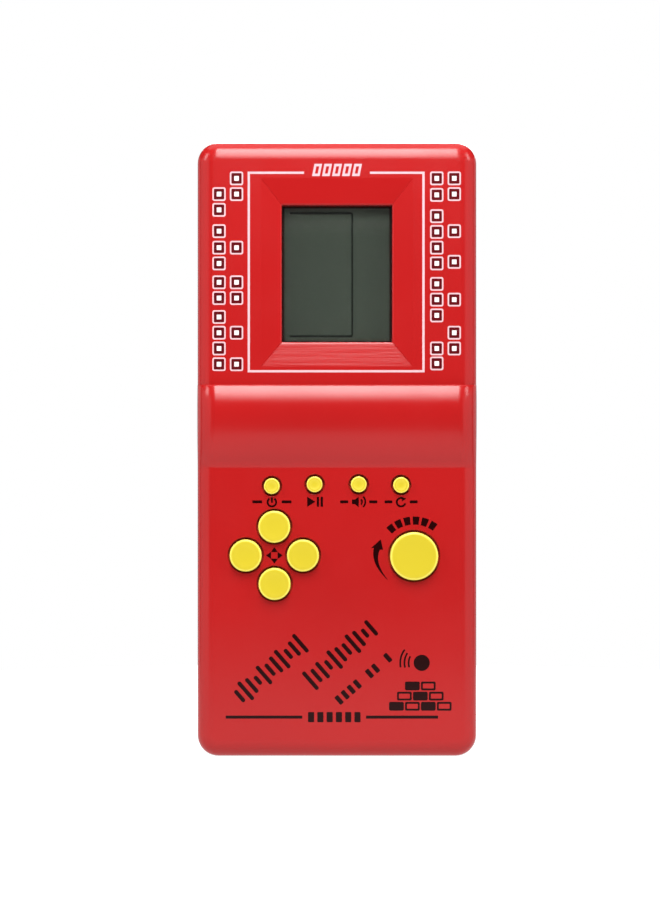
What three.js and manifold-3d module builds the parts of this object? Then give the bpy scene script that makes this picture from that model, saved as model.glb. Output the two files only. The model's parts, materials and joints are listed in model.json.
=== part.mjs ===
// Handheld LCD block game: an upright two-part plastic case with a recessed display, nine sprung
// buttons, a two-cell battery bay with a hinged door, and the circuit board behind the keypads.
//
// Units are millimetres. +X is right, +Z is up and the face looks along -Y. The case stands on its
// bottom end, centred on the origin. "Depth" is the distance in front of the flat back, so it is 0 on
// the back and CREST_DEPTH on the crest of the roll across the middle.
import * as THREE from "three";
import { mergeVertices, toCreasedNormals } from "three/addons/utils/BufferGeometryUtils.js";
import Module from "manifold-3d";

const wasm = await Module();
wasm.setup();

// ---- driving dimensions ----

const CASE_WIDTH = 80;
const CASE_HEIGHT = 176;
const FACE_DEPTH = 23.5; // flat back to flat face
const CREST_DEPTH = 27; // flat back to the crest of the roll
const PARTING_DEPTH = 11; // where the two shells meet
const CORNER_RADIUS = 6;
const FACE_FILLET = 4;
const BACK_FILLET = 3;
const WALL = 2;
const SEAM_GAP = 0.3;
const HALF_WIDTH = CASE_WIDTH / 2;

const ROLL = {
  bottom: 83.3,
  crest: 99.5,
  top: 106.4,
  endRadius: 4.6,
  stepRise: 1.7,
  browEase: 2.6,
  crestEase: 6,
  heelEase: 4,
  heelRise: 1.95,
};

// The display: a shallow funnel with a straight lip, then the window and the glass behind it.
const DISPLAY_Z = 138.5;
const RECESS_MOUTH = { width: 43.4, height: 53.7 };
const RECESS_FLOOR = { width: 32, height: 40, depth: 22.6 };
const WINDOW = { width: 36.8, height: 44.5, back: 17.8, front: 18.8 };
const GLASS_WIDTH = 38;
const GLASS_BOTTOM = 115.6;
const FRONT_GLASS_TOP = 163.5;
const REAR_GLASS_TOP = 160.6;

const BOARD = { back: 12.4, front: 14 };

// Two AA cells lie across the case behind the roll, one above the other, pointing opposite ways.
const CELL = { radius: 7.1, length: 50.2, depth: 9.1, upperZ: 104.75, lowerZ: 90.25 };
const BAY = { halfWidth: 28.4, bottom: 83, top: 112, floor: 16.7, wall: 0.8 };
const DOOR = { halfWidth: 30.4, bottom: 81.6, top: 113.4, thickness: 1.8, gap: 0.4 };

const LARGE_KEY = { radius: 4.7, hole: 5.05, flange: 5.5, proud: 2, segments: 20 };
const ROTATE_KEY = { radius: 7, hole: 7.4, flange: 7.9, proud: 2, segments: 24 };
const SMALL_KEY = { radius: 2.35, hole: 2.7, flange: 3.2, proud: 1.2, segments: 14 };
const KEYS = {
  up: { x: -17.9, z: 65.9, size: LARGE_KEY },
  left: { x: -26.05, z: 57.7, size: LARGE_KEY },
  right: { x: -9.7, z: 57.7, size: LARGE_KEY },
  down: { x: -17.8, z: 49.6, size: LARGE_KEY },
  rotate: { x: 22, z: 57.5, size: ROTATE_KEY },
  power: { x: -18.6, z: 77.5, size: SMALL_KEY },
  start_pause: { x: -6.4, z: 78, size: SMALL_KEY },
  sound: { x: 6.2, z: 78, size: SMALL_KEY },
  reset: { x: 18.3, z: 77.8, size: SMALL_KEY },
};

// Each case screw goes in from the back, through the rear shell into a boss of the front shell.
const CASE_SCREWS = {
  top_left: [-33, 165],
  top_right: [33, 165],
  middle_left: [-34.5, 66],
  middle_right: [34.5, 66],
  bottom_left: [-33, 11],
  bottom_right: [33, 11],
};
const BOARD_SCREWS = { left: [-27, 47.5], right: [27, 47.5], top: [24.6, 165.4] };

const BUZZER = { x: 0, z: 26, radius: 13.5, back: 3, thickness: 0.3 };

// ---- finishes ----

const FINISHES = {
  red: { color: 0xcd2427, roughness: 0.28, metalness: 0 },
  yellow: { color: 0xecd43a, roughness: 0.32, metalness: 0 },
  clear: { color: 0xdfe8e4, roughness: 0.05, metalness: 0, transparent: true, opacity: 0.35 },
  display: { color: 0x434b42, roughness: 0.2, metalness: 0 },
  glass: { color: 0xbfd0c4, roughness: 0.05, metalness: 0, transparent: true, opacity: 0.35 },
  foil: { color: 0xb9bdb4, roughness: 0.35, metalness: 0.8 },
  holder: { color: 0xe6e4dc, roughness: 0.5, metalness: 0 },
  foam: { color: 0x2a2a2c, roughness: 0.95, metalness: 0 },
  zebra: { color: 0xd98aa0, roughness: 0.7, metalness: 0 },
  board: { color: 0xb58a4a, roughness: 0.55, metalness: 0 },
  epoxy: { color: 0x111213, roughness: 0.3, metalness: 0 },
  sleeve: { color: 0x1f2f5c, roughness: 0.35, metalness: 0 },
  resistor: { color: 0xd9c08e, roughness: 0.6, metalness: 0 },
  silicone: { color: 0xd8d8d4, roughness: 0.7, metalness: 0 },
  carbon: { color: 0x151515, roughness: 0.9, metalness: 0 },
  brass: { color: 0xc9a24c, roughness: 0.3, metalness: 1 },
  ceramic: { color: 0xe9e5da, roughness: 0.5, metalness: 0 },
  steel: { color: 0xb6b9bd, roughness: 0.35, metalness: 1 },
  cell: { color: 0x1d6e78, roughness: 0.3, metalness: 0.1 },
  redWire: { color: 0xb3201f, roughness: 0.5, metalness: 0 },
  blackWire: { color: 0x17171a, roughness: 0.5, metalness: 0 },
};

// ---- building blocks ----

const yAt = (depth) => CREST_DEPTH / 2 - depth;

function solid(geometry) {
  const bare = geometry.clone();
  bare.deleteAttribute("normal");
  bare.deleteAttribute("uv");
  const merged = mergeVertices(bare);
  return new wasm.Manifold(
    new wasm.Mesh({
      numProp: 3,
      vertProperties: merged.attributes.position.array,
      triVerts: new Uint32Array(merged.index.array),
    }),
  );
}

const join = (first, ...others) => others.reduce((sum, other) => sum.add(other), first);
const cut = (base, ...tools) => tools.reduce((rest, tool) => rest.subtract(tool), base);

function geometryOf(shape) {
  const { numProp, vertProperties, triVerts } = shape.getMesh();
  const position = new Float32Array((vertProperties.length / numProp) * 3);
  for (let i = 0; i * 3 < position.length; i += 1) {
    position.set(vertProperties.subarray(i * numProp, i * numProp + 3), i * 3);
  }
  const geometry = new THREE.BufferGeometry();
  geometry.setAttribute("position", new THREE.BufferAttribute(position, 3));
  geometry.setIndex(new THREE.BufferAttribute(triVerts, 1));
  return toCreasedNormals(geometry, Math.PI / 5);
}

// A box between two corners, given as [low, high] in x, in z and in depth.
function box([x0, x1], [z0, z1], [d0, d1]) {
  const geometry = new THREE.BoxGeometry(x1 - x0, d1 - d0, z1 - z0);
  return solid(geometry.translate((x0 + x1) / 2, yAt((d0 + d1) / 2), (z0 + z1) / 2));
}

// An outline in x and z, raised from one depth to another.
function plate(outline, back, front, curveSegments = 3) {
  const geometry = new THREE.ExtrudeGeometry(outline, {
    depth: front - back,
    bevelEnabled: false,
    curveSegments,
  });
  return solid(geometry.rotateX(Math.PI / 2).translate(0, yAt(back), 0));
}

// The same with both rims rounded: the outline is full size midway and shrinks by the fillet.
function filletedPlate(outline, back, front, fillet, bevelSegments) {
  const geometry = new THREE.ExtrudeGeometry(outline, {
    depth: front - back - 2 * fillet,
    bevelThickness: fillet,
    bevelSize: fillet,
    bevelOffset: -fillet,
    bevelSegments,
    curveSegments: 3,
  });
  return solid(geometry.rotateX(Math.PI / 2).translate(0, yAt(back + fillet), 0));
}

function roundedRectangle([x0, x1], [z0, z1], radius) {
  const outline = new THREE.Shape();
  outline.moveTo(x0 + radius, z0);
  outline.lineTo(x1 - radius, z0);
  outline.absarc(x1 - radius, z0 + radius, radius, -Math.PI / 2, 0);
  outline.lineTo(x1, z1 - radius);
  outline.absarc(x1 - radius, z1 - radius, radius, 0, Math.PI / 2);
  outline.lineTo(x0 + radius, z1);
  outline.absarc(x0 + radius, z1 - radius, radius, Math.PI / 2, Math.PI);
  outline.lineTo(x0, z0 + radius);
  outline.absarc(x0 + radius, z0 + radius, radius, Math.PI, 1.5 * Math.PI);
  return outline;
}

const polygon = (points) => new THREE.Shape(points.map(([x, z]) => new THREE.Vector2(x, z)));

// A shape turned about an axis that runs from back to front; the profile is a list of [radius, depth].
function turned([x, z], profile, segments) {
  const points = profile.map(([radius, depth]) => new THREE.Vector2(radius, depth));
  const geometry = new THREE.LatheGeometry(points, segments);
  return solid(geometry.rotateX(Math.PI).translate(x, yAt(0), z));
}

function disc(centre, radius, back, front, segments = 12) {
  const profile = [
    [0, back],
    [radius, back],
    [radius, front],
    [0, front],
  ];
  return turned(centre, profile, segments);
}

// A shape turned about an axis across the case; the profile is a list of [radius, x].
function turnedAcross(z, depth, profile, segments) {
  const points = profile.map(([radius, x]) => new THREE.Vector2(radius, x));
  const geometry = new THREE.LatheGeometry(points, segments).rotateZ(-Math.PI / 2);
  return solid(geometry.translate(0, yAt(depth), z));
}

// An outline in y and z, drawn out across the case.
function prismAcross(outline, x0, x1, curveSegments = 8) {
  const geometry = new THREE.ExtrudeGeometry(outline, {
    depth: x1 - x0,
    bevelEnabled: false,
    curveSegments,
  });
  const turn = new THREE.Matrix4().makeBasis(
    new THREE.Vector3(0, 1, 0),
    new THREE.Vector3(0, 0, 1),
    new THREE.Vector3(1, 0, 0),
  );
  return solid(geometry.applyMatrix4(turn).translate(x0, 0, 0));
}

function ring(radius) {
  const outline = new THREE.Shape();
  outline.absarc(0, 0, radius, 0, 2 * Math.PI);
  return outline;
}

function sweep(path, radius, steps, curveSegments = 3) {
  const options = { steps, extrudePath: path, curveSegments, bevelEnabled: false };
  return solid(new THREE.ExtrudeGeometry(ring(radius), options));
}

// A wire through points given as [x, depth, z].
function wire(points, radius = 0.6, steps = 14) {
  const route = points.map(([x, depth, z]) => new THREE.Vector3(x, yAt(depth), z));
  return sweep(new THREE.CatmullRomCurve3(route), radius, steps, 4);
}

// A coil whose axis runs across the case, narrowing from the plate towards the cell.
class ConeCoil extends THREE.Curve {
  constructor(x0, x1, z, wide, narrow, turns) {
    super();
    Object.assign(this, { x0, x1, z, wide, narrow, turns });
  }

  getPoint(t, target = new THREE.Vector3()) {
    const angle = 2 * Math.PI * this.turns * t;
    const radius = THREE.MathUtils.lerp(this.wide, this.narrow, t);
    return target.set(
      THREE.MathUtils.lerp(this.x0, this.x1, t),
      yAt(CELL.depth) + radius * Math.cos(angle),
      this.z + radius * Math.sin(angle),
    );
  }
}

const part = new THREE.Group();

function add(name, shape, finish) {
  const mesh = new THREE.Mesh(geometryOf(shape), new THREE.MeshStandardMaterial(FINISHES[finish]));
  mesh.name = name;
  part.add(mesh);
}

// ---- case ----

const insetCase = (inset, radius) =>
  roundedRectangle([-HALF_WIDTH + inset, HALF_WIDTH - inset], [inset, CASE_HEIGHT - inset], radius);

// The roll across the face: a step up to its brow, a crest, and a long fall to a heel below.
function roll() {
  const start = yAt(PARTING_DEPTH + SEAM_GAP / 2);
  const face = yAt(FACE_DEPTH);
  const crest = yAt(CREST_DEPTH);
  const section = new THREE.Shape();
  section.moveTo(start, ROLL.bottom);
  section.lineTo(start, ROLL.top);
  section.lineTo(face - ROLL.stepRise, ROLL.top);
  section.quadraticCurveTo(crest, ROLL.top - ROLL.browEase, crest, ROLL.crest);
  section.bezierCurveTo(
    crest,
    ROLL.crest - ROLL.crestEase,
    face - ROLL.heelRise,
    ROLL.bottom + ROLL.heelEase,
    face,
    ROLL.bottom,
  );
  const arcX = HALF_WIDTH - ROLL.endRadius;
  const arcY = crest + ROLL.endRadius;
  const ends = new THREE.Shape();
  ends.moveTo(-HALF_WIDTH, start + 1);
  ends.lineTo(-HALF_WIDTH, arcY);
  ends.absarc(-arcX, arcY, ROLL.endRadius, Math.PI, 1.5 * Math.PI);
  ends.absarc(arcX, arcY, ROLL.endRadius, -Math.PI / 2, 0);
  ends.lineTo(HALF_WIDTH, start + 1);
  const column = new THREE.ExtrudeGeometry(ends, {
    depth: CASE_HEIGHT,
    bevelEnabled: false,
    curveSegments: 3,
  });
  return prismAcross(section, -HALF_WIDTH, HALF_WIDTH).intersect(solid(column));
}

// The hollow under the roll keeps its wall about as thick as the rest of the case.
function rollHollow() {
  const points = [
    [104.2, 21],
    [104.2, 23.4],
    [101.8, 25],
    [95.5, 25],
    [91, 23.3],
    [87.5, 22],
    [86, 21],
  ];
  const section = polygon(points.map(([z, depth]) => [yAt(depth), z]));
  return prismAcross(section, -HALF_WIDTH + 2.6, HALF_WIDTH - 2.6);
}

function recess() {
  const mouthDepth = FACE_DEPTH;
  const overshoot = 1;
  const slope = (mouthDepth + overshoot - RECESS_FLOOR.depth) / (mouthDepth - RECESS_FLOOR.depth);
  const funnel = new THREE.BoxGeometry(1, 1, 1);
  const corners = funnel.attributes.position;
  for (let i = 0; i < corners.count; i += 1) {
    const outer = corners.getY(i) < 0;
    const grow = outer ? slope : 0;
    const width = THREE.MathUtils.lerp(RECESS_FLOOR.width, RECESS_MOUTH.width, grow);
    const height = THREE.MathUtils.lerp(RECESS_FLOOR.height, RECESS_MOUTH.height, grow);
    const depth = outer ? mouthDepth + overshoot : RECESS_FLOOR.depth;
    corners.setXYZ(
      i,
      corners.getX(i) * width,
      yAt(depth),
      DISPLAY_Z + corners.getZ(i) * height,
    );
  }
  return solid(funnel);
}

const SCREW_LEDGE = 5; // the screw heads sit this deep in their wells in the back
const LIP = { outerInset: 0.85, innerInset: 1.15, reach: 1.7 };

function frontShell() {
  const seam = PARTING_DEPTH + SEAM_GAP / 2;
  const belowSeam = box([-50, 50], [-10, CASE_HEIGHT + 10], [-10, seam]);
  const outer = cut(
    filletedPlate(insetCase(0, CORNER_RADIUS), seam - 8, FACE_DEPTH, FACE_FILLET, 4),
    belowSeam,
  );
  const inner = filletedPlate(insetCase(WALL, CORNER_RADIUS - WALL), 5, FACE_DEPTH - WALL, 2, 2);
  const rebate = plate(insetCase(LIP.outerInset, CORNER_RADIUS - 1), 5, seam + LIP.reach + 0.3);
  const halfOpening = RECESS_FLOOR.width / 2;
  const funnelWall = 4.3;
  const surround = plate(
    roundedRectangle(
      [-halfOpening - funnelWall, halfOpening + funnelWall],
      [
        DISPLAY_Z - RECESS_FLOOR.height / 2 - funnelWall,
        DISPLAY_Z + RECESS_FLOOR.height / 2 + funnelWall,
      ],
      2,
    ),
    WINDOW.front + 0.1,
    FACE_DEPTH - WALL + 0.2,
    2,
  );
  const opening = box(
    [-halfOpening, halfOpening],
    [DISPLAY_Z - RECESS_FLOOR.height / 2, DISPLAY_Z + RECESS_FLOOR.height / 2],
    [15, RECESS_FLOOR.depth + 0.3],
  );
  let shell = join(cut(join(outer, roll()), inner, rebate, rollHollow()), surround);
  for (const centre of Object.values(CASE_SCREWS)) {
    const boss = disc(centre, 2.8, PARTING_DEPTH + 1, FACE_DEPTH - WALL + 0.2, 12);
    shell = cut(join(shell, boss), disc(centre, 1.45, 5, 19.5, 12));
  }
  for (const centre of Object.values(BOARD_SCREWS)) {
    const post = disc(centre, 2.2, BOARD.front + 0.1, FACE_DEPTH - WALL + 0.2, 12);
    shell = cut(join(shell, post), disc(centre, 1.15, 5, 19, 10));
  }
  const holes = Object.values(KEYS).map(({ x, z, size }) =>
    disc([x, z], size.hole, FACE_DEPTH - WALL - 1, FACE_DEPTH + 1, size.segments),
  );
  return cut(shell, opening, recess(), ...holes);
}

function rearShell() {
  const seam = PARTING_DEPTH - SEAM_GAP / 2;
  const aboveSeam = box([-50, 50], [-10, CASE_HEIGHT + 10], [seam, 40]);
  const outer = cut(
    filletedPlate(insetCase(0, CORNER_RADIUS), 0, seam + 8, BACK_FILLET, 3),
    aboveSeam,
  );
  const lip = plate(insetCase(LIP.innerInset, CORNER_RADIUS - 1.2), seam - 2, seam + LIP.reach);
  const inner = filletedPlate(insetCase(WALL, CORNER_RADIUS - WALL), WALL, 30, 1.5, 2);
  const walls = [BAY.halfWidth + BAY.wall, BAY.bottom - BAY.wall, BAY.top + BAY.wall];
  const bay = box([-walls[0], walls[0]], [walls[1], walls[2]], [1, BAY.floor + 1]);
  const frame = box([-32.4, 32.4], [79.6, 115.4], [1, 3.4]);
  const bayHollow = box([-BAY.halfWidth, BAY.halfWidth], [BAY.bottom, BAY.top], [-1, BAY.floor]);
  const doorway = box(
    [-DOOR.halfWidth - DOOR.gap, DOOR.halfWidth + DOOR.gap],
    [DOOR.bottom - DOOR.gap, DOOR.top + DOOR.gap],
    [-1, DOOR.thickness + 0.3],
  );
  const thumbNotch = plate(roundedRectangle([-6, 6], [78.6, 83], 1.5), -1, DOOR.thickness + 0.3);
  const hookSlots = [-1, 1].map((side) =>
    box([side * 18 - 3.5, side * 18 + 3.5], [110, 116.2], [WALL + 0.05, 5.4]),
  );
  const tabSlots = [CELL.upperZ, CELL.lowerZ].map((z) =>
    box([-BAY.halfWidth - 0.2, -27.3], [z - 1.6, z + 1.6], [BAY.floor - 1, BAY.floor + 2]),
  );
  const buzzerCentre = [BUZZER.x, BUZZER.z];
  const seat = cut(
    disc(buzzerCentre, BUZZER.radius + 1.4, 1, BUZZER.back + BUZZER.thickness + 0.5, 28),
    disc(buzzerCentre, BUZZER.radius + 0.3, BUZZER.back - 0.1, 9, 28),
    disc(buzzerCentre, BUZZER.radius - 1.5, 1.5, 9, 28),
  );
  const soundSlots = [-2, -1, 0, 1, 2].map((row) => {
    const z = BUZZER.z + row * 3;
    return plate(roundedRectangle([-6, 6], [z - 0.6, z + 0.6], 0.55), -1, WALL + 1, 2);
  });
  let shell = join(cut(join(outer, lip), inner), bay, frame, seat);
  for (const centre of Object.values(CASE_SCREWS)) {
    const tower = disc(centre, 4.3, 1, PARTING_DEPTH, 14);
    shell = cut(
      join(shell, tower),
      disc(centre, 3.1, -1, SCREW_LEDGE, 14),
      disc(centre, 1.5, SCREW_LEDGE - 1, PARTING_DEPTH + 1, 12),
    );
  }
  return cut(shell, bayHollow, doorway, thumbNotch, ...hookSlots, ...tabSlots, ...soundSlots);
}

// The door hangs from two hooks at its top edge, which turn under the wall of the rear shell.
function batteryDoor() {
  const panel = plate(
    roundedRectangle([-DOOR.halfWidth, DOOR.halfWidth], [DOOR.bottom, DOOR.top], 0.6),
    0,
    DOOR.thickness,
    2,
  );
  const hooks = [-1, 1].flatMap((side) => {
    const span = [side * 18 - 3, side * 18 + 3];
    return [
      box(span, [DOOR.top - 1.4, DOOR.top - 0.1], [1, 3.4]),
      box(span, [DOOR.top - 1.4, DOOR.top + 1.9], [2.3, 3.4]),
    ];
  });
  const tongue = box([-4, 4], [DOOR.bottom - 1, DOOR.bottom + 1], [0.9, DOOR.thickness]);
  const thumbGrip = turned(
    [0, DOOR.bottom + 4.5],
    [
      [0, -0.1],
      [4.5, -0.1],
      [3.2, 0.7],
      [0, 0.9],
    ],
    20,
  );
  return cut(join(panel, ...hooks, tongue), thumbGrip);
}

add("front_shell", frontShell(), "red");
add("rear_shell", rearShell(), "red");
add("battery_door", batteryDoor(), "red");

// ---- display ----

const glassSheet = (top, back, front, inset = 0) =>
  box(
    [-GLASS_WIDTH / 2 + inset, GLASS_WIDTH / 2 - inset],
    [GLASS_BOTTOM + inset, top - inset],
    [back, front],
  );

function displayHolder() {
  const outer = plate(roundedRectangle([-21.6, 21.6], [113.2, 165.6], 1), 14.1, 17.6, 2);
  const pocket = box([-19.2, 19.2], [GLASS_BOTTOM - 0.2, FRONT_GLASS_TOP + 0.2], [13, 19]);
  return cut(outer, pocket);
}

add(
  "display_window",
  plate(
    roundedRectangle(
      [-WINDOW.width / 2, WINDOW.width / 2],
      [DISPLAY_Z - WINDOW.height / 2, DISPLAY_Z + WINDOW.height / 2],
      1.5,
    ),
    WINDOW.back,
    WINDOW.front,
    2,
  ),
  "clear",
);
add("lcd_front_polariser", glassSheet(REAR_GLASS_TOP, 17.45, 17.7, 1), "display");
add("lcd_front_glass", glassSheet(FRONT_GLASS_TOP, 16.7, 17.4), "glass");
add("lcd_rear_glass", glassSheet(REAR_GLASS_TOP, 15.95, 16.65), "glass");
add("lcd_reflector", glassSheet(REAR_GLASS_TOP, 15.65, 15.9, 1), "foil");
add("lcd_foam_pad", glassSheet(REAR_GLASS_TOP, 14.1, 15.6, 2), "foam");
add("zebra_connector", box([-17.5, 17.5], [161, 163], [14.1, 16.65]), "zebra");
add("lcd_holder", displayHolder(), "holder");

// ---- circuit board ----

// One board: the keypad area, a neck past the battery bay, and the area behind the display.
function mainBoard() {
  const outline = polygon([
    [-31, 44],
    [31, 44],
    [31, 76],
    [36.4, 76],
    [36.4, 118],
    [27.4, 118],
    [27.4, 168],
    [-27, 168],
    [-27, 114],
    [29.8, 114],
    [29.8, 81.4],
    [-31, 81.4],
  ]);
  const holes = Object.values(BOARD_SCREWS).map((centre) => disc(centre, 1.3, 10, 16));
  return cut(plate(outline, BOARD.back, BOARD.front), ...holes);
}

function chipBlob() {
  const profile = [
    [0, 10.7],
    [3, 10.9],
    [5.6, 11.5],
    [7, BOARD.back - 0.1],
    [0, BOARD.back - 0.1],
  ];
  return turned([-4, 140], profile, 20);
}

// A small radial can standing off the back of the board, with its crimped neck.
function capacitor() {
  const profile = [
    [0, 4.8],
    [2.2, 4.8],
    [2.5, 5.1],
    [2.5, 10.2],
    [2.25, 10.6],
    [2.5, 11],
    [2.5, 12.2],
    [0, 12.2],
  ];
  return turned([19, 152], profile, 16);
}

function resistor(z) {
  const x = 13;
  const half = { lead: 5, body: 3, waist: 2 };
  const profile = [
    [0, x - half.lead],
    [0.3, x - half.lead],
    [0.3, x - half.body],
    [1.1, x - half.body + 0.3],
    [1.1, x - half.waist],
    [0.9, x - half.waist + 0.4],
    [0.9, x + half.waist - 0.4],
    [1.1, x + half.waist],
    [1.1, x + half.body - 0.3],
    [0.3, x + half.body],
    [0.3, x + half.lead],
    [0, x + half.lead],
  ];
  return turnedAcross(z, BOARD.back - 1.3, profile, 10);
}

add("main_board", mainBoard(), "board");
add("chip_blob", chipBlob(), "epoxy");
add("supply_capacitor", capacitor(), "sleeve");
add("resistor_1", resistor(128), "resistor");
add("resistor_2", resistor(132), "resistor");

// ---- keys ----

const DOME_TOP = 18;
const PILL = { back: 15.3, front: 15.9 };

// A cap with a rolled rim, and a flange that stops it against the inside of the face.
function keyCap({ x, z, size }) {
  const { radius, flange, proud, segments } = size;
  const top = FACE_DEPTH + proud;
  const rim = radius * 0.13;
  const stem = radius * 0.6;
  const flangeBack = 20.3;
  const flangeFront = FACE_DEPTH - WALL - 0.15;
  const profile = [
    [0, DOME_TOP + 0.2],
    [stem, DOME_TOP + 0.2],
    [stem, flangeBack],
    [flange, flangeBack],
    [flange, flangeFront],
    [radius, flangeFront],
    [radius, top - rim],
    [radius - rim * 0.35, top - rim * 0.3],
    [radius - rim, top],
    [0, top],
  ];
  return turned([x, z], profile, segments);
}

const domeRadius = (size) => size.flange * 0.78;

// A silicone sheet on the board with a hollow dome under each key, open towards the board.
function keyMat(sheet, keys) {
  const skin = 0.8;
  const domes = keys.map(({ x, z, size }) => {
    const foot = domeRadius(size);
    const profile = [
      [0, BOARD.front + 0.2],
      [foot, BOARD.front + 0.2],
      [foot, 15],
      [foot * 0.65, DOME_TOP],
      [0, DOME_TOP],
    ];
    return turned([x, z], profile, 12);
  });
  const hollows = keys.map(({ x, z, size }) => {
    const foot = domeRadius(size) - skin;
    const profile = [
      [0, BOARD.front - 1],
      [foot, BOARD.front - 1],
      [foot, 14.9],
      [foot * 0.68, DOME_TOP - 1.2],
      [0, DOME_TOP - 1.2],
    ];
    return turned([x, z], profile, 12);
  });
  const plungers = keys.map(({ x, z, size }) =>
    disc([x, z], domeRadius(size) * 0.45, PILL.front + 0.1, DOME_TOP - 1, 10),
  );
  return join(cut(join(sheet, ...domes), ...hollows), ...plungers);
}

const matSheet = (outline) => plate(outline, BOARD.front + 0.1, BOARD.front + 0.9, 2);

const directionSheet = join(
  matSheet(roundedRectangle([-22.8, -12.9], [44.6, 70.8], 1)),
  matSheet(roundedRectangle([-30.6, -5], [52.8, 62.6], 1)),
);
const functionSheet = matSheet(roundedRectangle([-22.4, 22.4], [74.2, 81.2], 1));
const rotateSheet = disc([KEYS.rotate.x, KEYS.rotate.z], 8.6, BOARD.front + 0.1, BOARD.front + 0.9, 20);

add("direction_mat", keyMat(directionSheet, [KEYS.up, KEYS.left, KEYS.right, KEYS.down]), "silicone");
add(
  "function_mat",
  keyMat(functionSheet, [KEYS.power, KEYS.start_pause, KEYS.sound, KEYS.reset]),
  "silicone",
);
add("rotate_mat", keyMat(rotateSheet, [KEYS.rotate]), "silicone");
for (const [name, key] of Object.entries(KEYS)) {
  add(`${name}_button`, keyCap(key), "yellow");
  add(
    `${name}_contact_pill`,
    disc([key.x, key.z], domeRadius(key.size) * 0.45, PILL.back, PILL.front, 10),
    "carbon",
  );
}

// ---- buzzer ----

const buzzerFront = BUZZER.back + BUZZER.thickness;
add("buzzer_disc", disc([BUZZER.x, BUZZER.z], BUZZER.radius, BUZZER.back, buzzerFront, 28), "brass");
add(
  "buzzer_ceramic",
  disc([BUZZER.x, BUZZER.z], BUZZER.radius - 4.5, buzzerFront + 0.1, buzzerFront + 0.3, 24),
  "ceramic",
);
add(
  "buzzer_lead_red",
  wire([
    [4, buzzerFront + 0.5, 29],
    [4.2, 5.6, 30],
    [5.6, 8.4, 36],
    [5, 9.6, 43],
    [4.6, 10.6, 46],
    [4.6, 12, 46.4],
  ]),
  "redWire",
);
add(
  "buzzer_lead_black",
  wire([
    [10.8, buzzerFront + 0.4, 29],
    [11, 5.6, 30],
    [9.6, 8.4, 36],
    [8.2, 9.6, 43],
    [7.6, 10.6, 46],
    [7.6, 12, 46.4],
  ]),
  "blackWire",
);

// ---- battery bay ----

const PLATE = { outer: 28.2, inner: 27.8, back: 3.6, front: 14.6, tab: 18.9 };
const CONTACT_REACH = 25.4;

// The strip that stands against the end wall of the bay; side is -1 on the left and 1 on the right.
function contactPlate(side, z0, z1) {
  const span = [side * PLATE.outer, side * PLATE.inner].sort((a, b) => a - b);
  return box(span, [z0, z1], [PLATE.back, PLATE.front]);
}

const solderTab = (z) =>
  box([-PLATE.outer, -PLATE.inner], [z - 1.1, z + 1.1], [PLATE.front - 0.5, PLATE.tab]);

function pressedStud(side, z) {
  const profile = [
    [0, -28],
    [2.6, -28],
    [2.2, -26],
    [1.4, -CONTACT_REACH],
    [0, -CONTACT_REACH],
  ];
  const facing = side < 0 ? profile : profile.map(([radius, x]) => [radius, -x]).reverse();
  return turnedAcross(z, CELL.depth, facing, 14);
}

function coil(side, z) {
  const path = new ConeCoil(side * 28, side * (CONTACT_REACH + 0.2), z, 4.2, 2.6, 2.6);
  return sweep(path, 0.3, 40);
}

// A cell with its stud at the left (-1) or the right (1).
function cell(side, z) {
  const end = CELL.length / 2;
  const profile = [
    [0, -end],
    [6.5, -end],
    [CELL.radius, -end + 0.5],
    [CELL.radius, end - 1.6],
    [6.5, end - 1.1],
    [2.75, end - 1],
    [2.6, end],
    [0, end],
  ];
  const facing = side > 0 ? profile : profile.map(([radius, x]) => [radius, -x]).reverse();
  return turnedAcross(z, CELL.depth, facing, 28);
}

add(
  "contact_positive",
  join(
    contactPlate(-1, CELL.upperZ - 5.4, CELL.upperZ + 5.4),
    solderTab(CELL.upperZ),
    pressedStud(-1, CELL.upperZ),
  ),
  "steel",
);
add(
  "contact_negative",
  join(
    contactPlate(-1, CELL.lowerZ - 5.4, CELL.lowerZ + 5.4),
    solderTab(CELL.lowerZ),
    coil(-1, CELL.lowerZ),
  ),
  "steel",
);
add(
  "contact_bridge",
  join(
    contactPlate(1, CELL.lowerZ - 5.4, CELL.upperZ + 5.4),
    pressedStud(1, CELL.lowerZ),
    coil(1, CELL.upperZ),
  ),
  "steel",
);
add("battery_1", cell(-1, CELL.upperZ), "cell");
add("battery_2", cell(1, CELL.lowerZ), "cell");
add(
  "battery_lead_red",
  wire(
    [
      [-28, 19.2, CELL.upperZ],
      [-27.6, 21.2, 102.6],
      [-27, 21.6, 95],
      [-26.4, 19.9, 86],
      [-26, 17.4, 81],
      [-25.8, 14.3, 79.4],
    ],
    0.6,
    18,
  ),
  "redWire",
);
add(
  "battery_lead_black",
  wire([
    [-28, 19.3, CELL.lowerZ],
    [-28.3, 20.6, 88.6],
    [-29.6, 19.4, 83.4],
    [-29.4, 17, 80.4],
    [-29.2, 14.3, 79.4],
  ]),
  "blackWire",
);

// ---- screws ----

// A pan-head screw pointing forwards, with a cross recess in its head.
function screw([x, z], { headRadius, shankRadius, headBack, seat, tip }) {
  const profile = [
    [0, headBack],
    [headRadius, headBack],
    [headRadius, seat],
    [shankRadius, seat],
    [shankRadius, tip],
    [0, tip],
  ];
  const arm = headRadius * 0.55;
  const slotDepth = [headBack - 1, headBack + 0.9];
  const recesses = [
    box([x - arm, x + arm], [z - 0.3, z + 0.3], slotDepth),
    box([x - 0.3, x + 0.3], [z - arm, z + arm], slotDepth),
  ];
  return cut(turned([x, z], profile, 10), ...recesses);
}

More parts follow.
